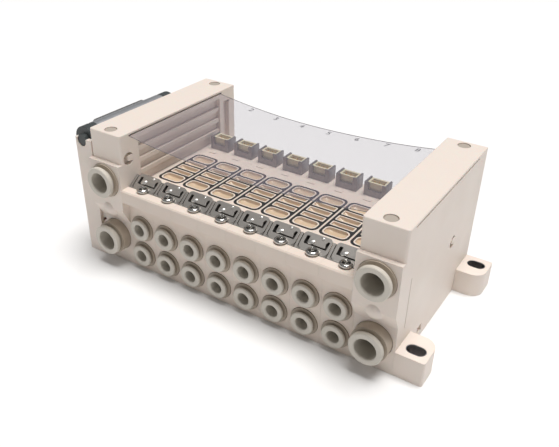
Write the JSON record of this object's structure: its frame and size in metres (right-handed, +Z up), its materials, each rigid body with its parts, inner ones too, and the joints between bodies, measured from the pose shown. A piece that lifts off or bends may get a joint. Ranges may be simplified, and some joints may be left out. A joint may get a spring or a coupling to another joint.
{
  "type": "pneumatic valve island base",
  "caption": "Plug-in valve manifold base: station blocks with push-in tube ports and gasketed seats between end plates, with a cover film, swivelling connector and slotted feet.",
  "frame": {"origin": "on the underside, midway along the row of stations and midway from the ledge nose to the back face", "axes": "+X along the row towards the plate with the feet, +Y from the port side to the back, +Z up"},
  "size_m": [0.1959, 0.0985, 0.073],
  "materials": {
    "cream_plastic": "satin moulded",
    "ring_plastic": "satin moulded",
    "black_rubber": "matt",
    "bracket_steel": "satin stamped",
    "screw_steel": "bright plated",
    "dark_plastic": "satin moulded",
    "shell_steel": "nickel plated",
    "clear_film": "clear glossy",
    "board": "lacquered",
    "cap_plastic": "matt"
  },
  "bodies": {
    "island": {"clamp_bracket_1": "bracket_steel", "clamp_bracket_2": "bracket_steel", "clamp_bracket_3": "bracket_steel", "clamp_bracket_4": "bracket_steel", "clamp_bracket_5": "bracket_steel", "clamp_bracket_6": "bracket_steel", "clamp_bracket_7": "bracket_steel", "clamp_bracket_8": "bracket_steel", "clamp_screws": "screw_steel", "connector_housing": "cream_plastic", "cover_film": "clear_film", "end_plate_left": "cream_plastic", "end_plate_right": "cream_plastic", "hole_caps": "cap_plastic", "main_cartridges": "ring_plastic", "manifold_block_1": "cream_plastic", "manifold_block_2": "cream_plastic", "manifold_block_3": "cream_plastic", "manifold_block_4": "cream_plastic", "manifold_block_5": "cream_plastic", "manifold_block_6": "cream_plastic", "manifold_block_7": "cream_plastic", "manifold_block_8": "cream_plastic", "mounting_feet": "cream_plastic", "plug_clips": "bracket_steel", "plug_inserts": "cream_plastic", "station_cartridges": "ring_plastic", "tie_rods": "screw_steel", "valve_gasket_1": "black_rubber", "valve_gasket_2": "black_rubber", "valve_gasket_3": "black_rubber", "valve_gasket_4": "black_rubber", "valve_gasket_5": "black_rubber", "valve_gasket_6": "black_rubber", "valve_gasket_7": "black_rubber", "valve_gasket_8": "black_rubber", "wiring_board": "board"},
    "connector": {"connector_holder": "dark_plastic", "connector_shell": "shell_steel", "connector_insert": "dark_plastic"},
    "release_ring_high_1": {"release_ring_high_1": "ring_plastic"},
    "release_ring_low_1": {"release_ring_low_1": "ring_plastic"},
    "release_ring_high_2": {"release_ring_high_2": "ring_plastic"},
    "release_ring_low_2": {"release_ring_low_2": "ring_plastic"},
    "release_ring_high_3": {"release_ring_high_3": "ring_plastic"},
    "release_ring_low_3": {"release_ring_low_3": "ring_plastic"},
    "release_ring_high_4": {"release_ring_high_4": "ring_plastic"},
    "release_ring_low_4": {"release_ring_low_4": "ring_plastic"},
    "release_ring_high_5": {"release_ring_high_5": "ring_plastic"},
    "release_ring_low_5": {"release_ring_low_5": "ring_plastic"},
    "release_ring_high_6": {"release_ring_high_6": "ring_plastic"},
    "release_ring_low_6": {"release_ring_low_6": "ring_plastic"},
    "release_ring_high_7": {"release_ring_high_7": "ring_plastic"},
    "release_ring_low_7": {"release_ring_low_7": "ring_plastic"},
    "release_ring_high_8": {"release_ring_high_8": "ring_plastic"},
    "release_ring_low_8": {"release_ring_low_8": "ring_plastic"},
    "exhaust_ring_left": {"exhaust_ring_left": "ring_plastic"},
    "supply_ring_left": {"supply_ring_left": "ring_plastic"},
    "exhaust_ring_right": {"exhaust_ring_right": "ring_plastic"},
    "supply_ring_right": {"supply_ring_right": "ring_plastic"}
  },
  "joints": [
    {"name": "connector_swivel", "type": "hinge", "parent": "island", "child": "connector", "pos_m": [-0.0908, -0.01035, 0.0644], "axis": [0, 1, 0], "range_deg": [0, 90]},
    {"name": "release_ring_high_1_push", "type": "slide", "parent": "island", "child": "release_ring_high_1", "axis": [0, 1, 0], "range_m": [0, 0.0009], "stiffness_N_per_m": 150},
    {"name": "release_ring_low_1_push", "type": "slide", "parent": "island", "child": "release_ring_low_1", "axis": [0, 1, 0], "range_m": [0, 0.0009], "stiffness_N_per_m": 150},
    {"name": "release_ring_high_2_push", "type": "slide", "parent": "island", "child": "release_ring_high_2", "axis": [0, 1, 0], "range_m": [0, 0.0009], "stiffness_N_per_m": 150},
    {"name": "release_ring_low_2_push", "type": "slide", "parent": "island", "child": "release_ring_low_2", "axis": [0, 1, 0], "range_m": [0, 0.0009], "stiffness_N_per_m": 150},
    {"name": "release_ring_high_3_push", "type": "slide", "parent": "island", "child": "release_ring_high_3", "axis": [0, 1, 0], "range_m": [0, 0.0009], "stiffness_N_per_m": 150},
    {"name": "release_ring_low_3_push", "type": "slide", "parent": "island", "child": "release_ring_low_3", "axis": [0, 1, 0], "range_m": [0, 0.0009], "stiffness_N_per_m": 150},
    {"name": "release_ring_high_4_push", "type": "slide", "parent": "island", "child": "release_ring_high_4", "axis": [0, 1, 0], "range_m": [0, 0.0009], "stiffness_N_per_m": 150},
    {"name": "release_ring_low_4_push", "type": "slide", "parent": "island", "child": "release_ring_low_4", "axis": [0, 1, 0], "range_m": [0, 0.0009], "stiffness_N_per_m": 150},
    {"name": "release_ring_high_5_push", "type": "slide", "parent": "island", "child": "release_ring_high_5", "axis": [0, 1, 0], "range_m": [0, 0.0009], "stiffness_N_per_m": 150},
    {"name": "release_ring_low_5_push", "type": "slide", "parent": "island", "child": "release_ring_low_5", "axis": [0, 1, 0], "range_m": [0, 0.0009], "stiffness_N_per_m": 150},
    {"name": "release_ring_high_6_push", "type": "slide", "parent": "island", "child": "release_ring_high_6", "axis": [0, 1, 0], "range_m": [0, 0.0009], "stiffness_N_per_m": 150},
    {"name": "release_ring_low_6_push", "type": "slide", "parent": "island", "child": "release_ring_low_6", "axis": [0, 1, 0], "range_m": [0, 0.0009], "stiffness_N_per_m": 150},
    {"name": "release_ring_high_7_push", "type": "slide", "parent": "island", "child": "release_ring_high_7", "axis": [0, 1, 0], "range_m": [0, 0.0009], "stiffness_N_per_m": 150},
    {"name": "release_ring_low_7_push", "type": "slide", "parent": "island", "child": "release_ring_low_7", "axis": [0, 1, 0], "range_m": [0, 0.0009], "stiffness_N_per_m": 150},
    {"name": "release_ring_high_8_push", "type": "slide", "parent": "island", "child": "release_ring_high_8", "axis": [0, 1, 0], "range_m": [0, 0.0009], "stiffness_N_per_m": 150},
    {"name": "release_ring_low_8_push", "type": "slide", "parent": "island", "child": "release_ring_low_8", "axis": [0, 1, 0], "range_m": [0, 0.0009], "stiffness_N_per_m": 150},
    {"name": "exhaust_ring_left_push", "type": "slide", "parent": "island", "child": "exhaust_ring_left", "axis": [0, 1, 0], "range_m": [0, 0.0014], "stiffness_N_per_m": 150},
    {"name": "supply_ring_left_push", "type": "slide", "parent": "island", "child": "supply_ring_left", "axis": [0, 1, 0], "range_m": [0, 0.0014], "stiffness_N_per_m": 150},
    {"name": "exhaust_ring_right_push", "type": "slide", "parent": "island", "child": "exhaust_ring_right", "axis": [0, 1, 0], "range_m": [0, 0.0014], "stiffness_N_per_m": 150},
    {"name": "supply_ring_right_push", "type": "slide", "parent": "island", "child": "supply_ring_right", "axis": [0, 1, 0], "range_m": [0, 0.0014], "stiffness_N_per_m": 150}
  ]
}
